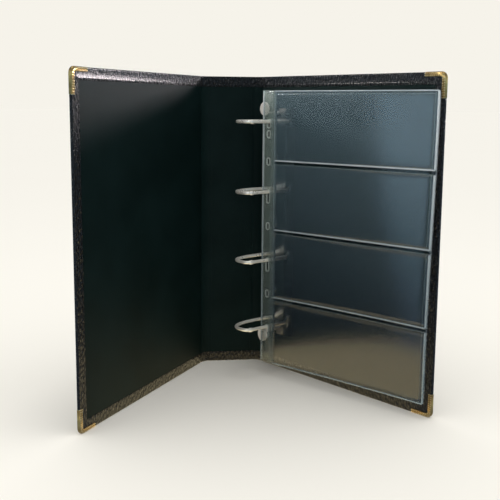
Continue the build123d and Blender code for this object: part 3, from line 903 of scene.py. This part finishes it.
def weldTongue(name, near, far, low, high):
    # flat film from one point to another, as tall as a page
    side = (far - near).normalized().cross(Vector((0, 0, 1))) * film["tongue"]
    corners = (near + side, far + side, far - side, near - side)
    points = [Vector((p.x, p.y, z)) for z in (low, high) for p in corners]
    faces = ringFaces(4, 2, closed=True) + [(3, 2, 1, 0), (4, 5, 6, 7)]
    return pieceFrom(name, points, faces, [filmWeld])


def hingeLine():
    # the round weld that both pages turn on
    points = []
    count, radius = 12, film["hingeLine"]
    for z in (pageLow, pageHigh):
        for step in range(count):
            turn = math.pi * step / (count / 2)
            points.append(page.at(radius * math.cos(turn), radius * math.sin(turn), z))
    faces = ringFaces(count, 2, closed=True)
    faces += [list(range(count)), list(range(2 * count - 1, count - 1, -1))]
    return pieceFrom("sheet_hinge_line", points, faces, [filmWeld], sharp=60)


def pocketSeams(low, high, bottom, top, lift, isFirst):
    # the mouth is a faint line, the foot of each pocket a bright one, a painted highlight along the pocket's edge
    left, right = low + film["seam"], high - film["seam"]
    foot, head = bottom + film["seamStop"], top - film["seamStop"]

    def level(z):
        return (left, z), (right, z)

    def upright(u):
        return (u, foot), (u, head)

    rows = [
        ("foot", level(bottom + seams["foot"][0]), filmEdgeHighlight, 40),
        ("mouth", level(top - seams["mouth"][0]), filmWeld, 40),
        ("edge", upright(high - seams["edge"][0]), filmEdgeHighlight, 16),
        ("edgeInner", upright(high - seams["edgeInner"][0]), filmWeld, 16),
        ("root", upright(low + seams["root"][0]), filmWeld, 16),
    ]
    if isFirst:
        rows.append(("head", level(top - seams["head"][0]), filmWeld, 40))
        rows.append(("headEdge", level(top - seams["headEdge"][0]), filmEdgeHighlight, 40))
    return [
        seamRib(name, ends, lift, seams[name][1], film["lip"], finish, steps)
        for name, ends, finish, steps in rows
    ]


holes = makeHoles()
alongHinge, offHinge = film["tongueStart"]
lap, inset = film["tongueLap"], film["inset"]
for i, turned in ((1, -1), (2, 1)):
    box = stripBox[i - 1]
    (uLow, uHigh), (nLow, nHigh), (zLow, zHigh) = box
    strip = stripPiece(f"sheet_{i}_binding_strip", box, holes)
    axis = back.at(hingeU - alongHinge, hingeN + turned * offHinge, 0)
    parts = [
        strip,
        stripRib("stripEdge", box, uLow + ribs["edge"][0], *ribs["edge"][1:], filmEdgeHighlight),
        stripRib("stripWeld", box, uHigh - ribs["weld"][0], *ribs["weld"][1:], filmWeld),
        stripRib("stripRoot", box, uHigh - ribs["root"][0], *ribs["root"][1:], filmWeld),
        weldTongue("stripTongue", back.at(uHigh - lap, (nLow + nHigh) / 2, 0), axis, zLow, zHigh),
        *[slotOutline(*hole, nHigh) for hole in holes],
    ]
    strip = joined(f"sheet_{i}_binding", parts)
    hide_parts(f"sheet_{i}_strip")
    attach(strip, "sheet_strips")

    backLift = sum(filmBox[i - 1][1]) / 2
    backing = filmPiece(
        f"sheet_{i}_backing_film", pageStart, pageEnd, pageLow, pageHigh, backLift, film["thick"],
        ("foot", "top"), [filmBacking, filmEdgeHighlight],
    )
    near, away = page.at(alongHinge, turned * offHinge, 0), page.at(pageStart + lap, backLift, 0)
    tongue = weldTongue("pageTongue", near, away, pageLow, pageHigh)
    item = joined(f"sheet_{i}_backing", [backing, tongue])
    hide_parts(f"sheet_{i}_back_film")
    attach(item, f"sheet_{i}")
    for k in range(1, 5):
        (low, high), (_, lift), (bottom, top) = page.spread(f"sheet_{i}_pocket_{k}")
        corners = [edge for edge, wanted in (("top", 1), ("foot", 4)) if k == wanted]
        pocket = filmPiece(
            f"pocket_{i}_{k}_film", low + inset, high - inset, bottom + inset, top - inset,
            lift - film["thick"] / 2, film["thick"], corners, [filmClear, filmEdgeHighlight], puff=film["puff"],
        )
        welds = pocketSeams(low, high, bottom, top, lift, k == 1)
        item = joined(f"sheet_{i}_window_{k}", [pocket, *welds])
        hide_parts(f"sheet_{i}_pocket_{k}")
        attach(item, f"sheet_{i}")
line = hingeLine()
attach(line, "sheet_strips")
print("sheets made")


# finishes for the CAD nodes that stay
slotFinish = {
    "grey_board": greyBoard,
    "ring_chrome": chrome,
    "plate_chrome": plateChrome,
    "spring_steel": springSteel,
    "pin_steel": pinSteel,
    "lever_chrome": padNickel,
    "gilt_brass": gilt,
    "leatherette": leather,
    "clear_film": filmClear,
    "strip_film": filmStrip,
}
for part in frame["record"]["subparts"]:
    node, slot = part["node"], part["material_slot"]
    if slot == "liner":
        finish = linerCovers[node.split("_")[0]] if node.split("_")[0] in linerCovers else linerSpine
    else:
        finish = slotFinish[slot]
    mesh = nodes[node].data
    mesh.materials.clear()
    mesh.materials.append(finish)
print("cad nodes painted")


# room, lights and camera
def lamp(name, spot, target, size, power, colour=(1, 1, 1), spread=180):
    light = bpy.data.lights.new(name, "AREA")
    light.shape = "RECTANGLE"
    light.size, light.size_y = size
    light.energy = power
    light.color = colour
    light.spread = math.radians(spread)
    item = bpy.data.objects.new(name, light)
    item.location = spot
    item.rotation_euler = (Vector(target) - Vector(spot)).to_track_quat("-Z", "Y").to_euler()
    bpy.context.scene.collection.objects.link(item)


room = {
    "paper": (0.922, 0.896, 0.823, 1),
    "paler": (0.930, 0.905, 0.833, 1),
    "reach": 60.0,
    "cloud": 0.6,  # size of the floor's faint patches
    "sky": ((0.50, 0.74, 0.95, 1), (0.12, 0.15, 0.18, 1)),  # gloss sees this at the horizon and above
    "skyTop": 0.55,
    "warm": (0.98, 0.83, 0.5, 1),
    "table": 0.265,  # gloss sees warm paper to this far from the album
    "tableFade": 0.02,
    "farAt": (1.0, 2.3, 6.0),  # metres away, for all but the first of the far colours
    "glow": 1.25,
    "far": ((0.14, 0.20, 0.29, 1), (0.18, 0.30, 0.41, 1), (0.23, 0.40, 0.51, 1), (0.40, 0.60, 0.76, 1)),
}


def makeWorld():
    world = bpy.data.worlds.new("studio")
    bpy.context.scene.world = world
    world.use_nodes = True
    tree = world.node_tree
    base = tree.nodes["Background"]
    base.inputs["Color"].default_value = (1, 1, 1, 1)
    path = tree.nodes.new("ShaderNodeLightPath")
    way = tree.nodes.new("ShaderNodeTexCoord")
    height = addNode(tree, "ShaderNodeSeparateXYZ", {}, {0: way.outputs["Generated"]})
    stops = [(0.0, room["sky"][0]), (room["skyTop"], room["sky"][1])]
    sky = addNode(tree, "ShaderNodeValToRGB", {"stops": stops}, {0: height.outputs[2]})
    gloss = addNode(tree, "ShaderNodeBackground", {}, {"Color": sky.outputs[0]})
    inputs = {0: path.outputs["Is Glossy Ray"], 1: base.outputs[0], 2: gloss.outputs[0]}
    unseen = addNode(tree, "ShaderNodeMixShader", {}, inputs)
    paper = addNode(tree, "ShaderNodeBackground", {}, {"Color": room["paper"]})
    inputs = {0: path.outputs["Is Camera Ray"], 1: unseen.outputs[0], 2: paper.outputs[0]}
    both = addNode(tree, "ShaderNodeMixShader", {}, inputs)
    tree.links.new(both.outputs[0], tree.nodes["World Output"].inputs["Surface"])


def makeFloor():
    # gloss on the album sees the paper end and a dim room beyond it
    far = room["reach"]
    corners = [(-far, -far, 0), (far, -far, 0), (far, far, 0), (-far, far, 0)]
    floor = pieceFrom("floor", corners, [(0, 1, 2, 3)], [])
    paper = Finish("floorPaper")
    tint = paper.mix(paper.noise(room["cloud"]), room["paper"], room["paler"])
    matt = paper.node("ShaderNodeBsdfDiffuse", {}, {"Color": tint})
    away = paper.node("ShaderNodeVectorMath", {"operation": "LENGTH"}, {0: paper.place}, "Value")
    warm, edge, end = room["warm"], room["table"], room["farAt"][-1]
    stops = [(0.0, warm), (edge / end, warm), ((edge + room["tableFade"]) / end, room["far"][0])]
    stops += [(spot / end, colour) for spot, colour in zip(room["farAt"], room["far"][1:])]
    seen = paper.node("ShaderNodeValToRGB", {"stops": stops}, {0: away / end})
    glow = paper.node("ShaderNodeEmission", {}, {"Color": seen, "Strength": room["glow"]})
    path = paper.node("ShaderNodeLightPath", {}, {}, "Is Glossy Ray")
    inputs = {0: path, 1: matt, 2: glow}
    both = paper.node("ShaderNodeMixShader", {}, inputs)
    paper.tree.links.new(both.socket, paper.tree.nodes["Material Output"].inputs["Surface"])
    floor.data.materials.append(paper.material)


def makeLamps():
    lamp("overhead", (0.1, -0.2, 1.5), (0.0, -0.1, 0.2), (0.35, 0.3), 2.2, (1.0, 0.98, 0.95))
    lamp("front", (-0.5, -1.7, 1.0), (0.0, -0.1, 0.2), (0.3, 0.25), 1.6, (1.0, 0.98, 0.94))
    lamp("window", (1.15, 0.45, 0.62), (-0.13, -0.15, 0.36), (0.35, 0.25), 0.33, (1.0, 0.90, 0.92), 16)
    lamp("glints", (-1.2, 0.12, 0.75), (0.1, -0.12, 0.36), (0.25, 0.15), 0.12, (1.0, 0.96, 0.92), 16)


view = {
    "lens": 62.35,
    "sensor": 36,
    "spot": (-0.1154, -1.0532, 0.3179),
    "heading": (0.131, 0.9914),
    "pitch": 9.47,  # degrees downwards
    "roll": 0.48,
}


def makeCamera():
    lens = bpy.data.cameras.new("camera")
    lens.lens, lens.sensor_width = view["lens"], view["sensor"]
    lens.clip_start = 0.01
    item = bpy.data.objects.new("camera", lens)
    bpy.context.scene.collection.objects.link(item)
    pitch, roll = math.radians(view["pitch"]), math.radians(view["roll"])
    x, y = view["heading"]
    forward = Vector((x * math.cos(pitch), y * math.cos(pitch), -math.sin(pitch)))
    item.rotation_mode = "QUATERNION"
    item.rotation_quaternion = forward.to_track_quat("-Z", "Y") @ Quaternion((0, 0, 1), roll)
    item.location = view["spot"]
    bpy.context.scene.camera = item


makeWorld()
makeFloor()
makeLamps()
makeCamera()
bpy.context.scene.view_settings.view_transform = "Standard"
print("room ready")
